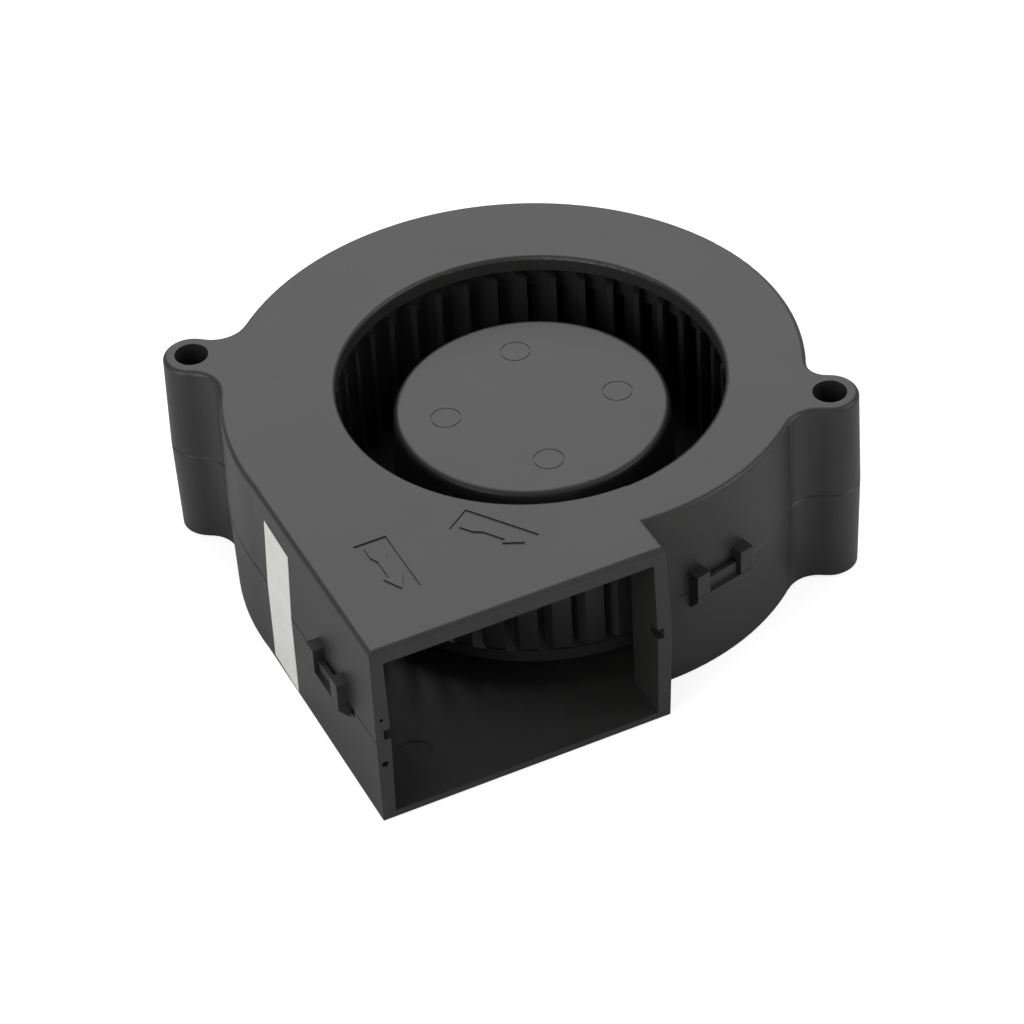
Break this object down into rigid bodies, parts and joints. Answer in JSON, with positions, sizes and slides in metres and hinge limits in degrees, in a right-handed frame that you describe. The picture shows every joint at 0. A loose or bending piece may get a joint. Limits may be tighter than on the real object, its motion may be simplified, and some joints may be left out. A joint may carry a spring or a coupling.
{
  "type": "dc blower fan",
  "caption": "Centrifugal DC blower with a snapped scroll housing, round top inlet, rectangular side outlet, forward-curved blade wheel and outer-rotor motor.",
  "frame": {"origin": "on the rotor axis at the base plane", "axes": "+Z along the rotor axis to the air inlet, the outlet faces -Y"},
  "size_m": [0.0917, 0.0922, 0.033],
  "materials": {
    "housing_plastic": "fine moulded grain, black",
    "wheel_plastic": "satin black",
    "seal_paper": "bare white paper",
    "brass": "machined",
    "bearing_steel": "polished",
    "lamination_steel": "stacked laminations",
    "yoke_steel": "zinc plated",
    "ferrite": "dull dark grey",
    "insulator_nylon": "natural nylon",
    "copper_wire": "enamelled copper",
    "board_laminate": "green solder mask",
    "chip_epoxy": "moulded epoxy"
  },
  "bodies": {
    "housing": {"upper_housing": "housing_plastic", "lower_housing": "housing_plastic", "seal_label": "seal_paper", "bearing_cap": "housing_plastic", "bearing_tube": "brass", "lower_bearing_outer_ring": "bearing_steel", "upper_bearing_outer_ring": "bearing_steel", "bearing_shields": "bearing_steel", "stator_core": "lamination_steel", "lower_insulator": "insulator_nylon", "upper_insulator": "insulator_nylon", "stator_windings": "copper_wire", "terminal_pins": "brass", "circuit_board": "board_laminate", "driver_chip": "chip_epoxy", "hall_sensor": "chip_epoxy", "board_parts": "chip_epoxy"},
    "rotor": {"blade_wheel": "wheel_plastic", "rotor_yoke": "yoke_steel", "ring_magnet": "ferrite", "shaft_bush": "brass", "rotor_shaft": "bearing_steel", "preload_spring": "bearing_steel", "lower_bearing_inner_ring": "bearing_steel", "upper_bearing_inner_ring": "bearing_steel", "thrust_washer": "insulator_nylon", "retaining_clip": "bearing_steel"},
    "lower_cage": {"lower_ball_cage": "brass", "lower_bearing_balls": "bearing_steel"},
    "upper_cage": {"upper_ball_cage": "brass", "upper_bearing_balls": "bearing_steel"}
  },
  "joints": [
    {"name": "rotor_spin", "type": "hinge", "parent": "housing", "child": "rotor", "pos_m": [0, 0, 0], "axis": [0, 0, 1], "continuous": true},
    {"name": "lower_cage_spin", "type": "hinge", "parent": "housing", "child": "lower_cage", "pos_m": [0, 0, 0], "axis": [0, 0, 1], "continuous": true},
    {"name": "upper_cage_spin", "type": "hinge", "parent": "housing", "child": "upper_cage", "pos_m": [0, 0, 0], "axis": [0, 0, 1], "continuous": true}
  ],
  "couplings": [
    {"joint": "lower_cage_spin", "follows": "rotor_spin", "ratio": 0.39},
    {"joint": "upper_cage_spin", "follows": "rotor_spin", "ratio": 0.39}
  ]
}
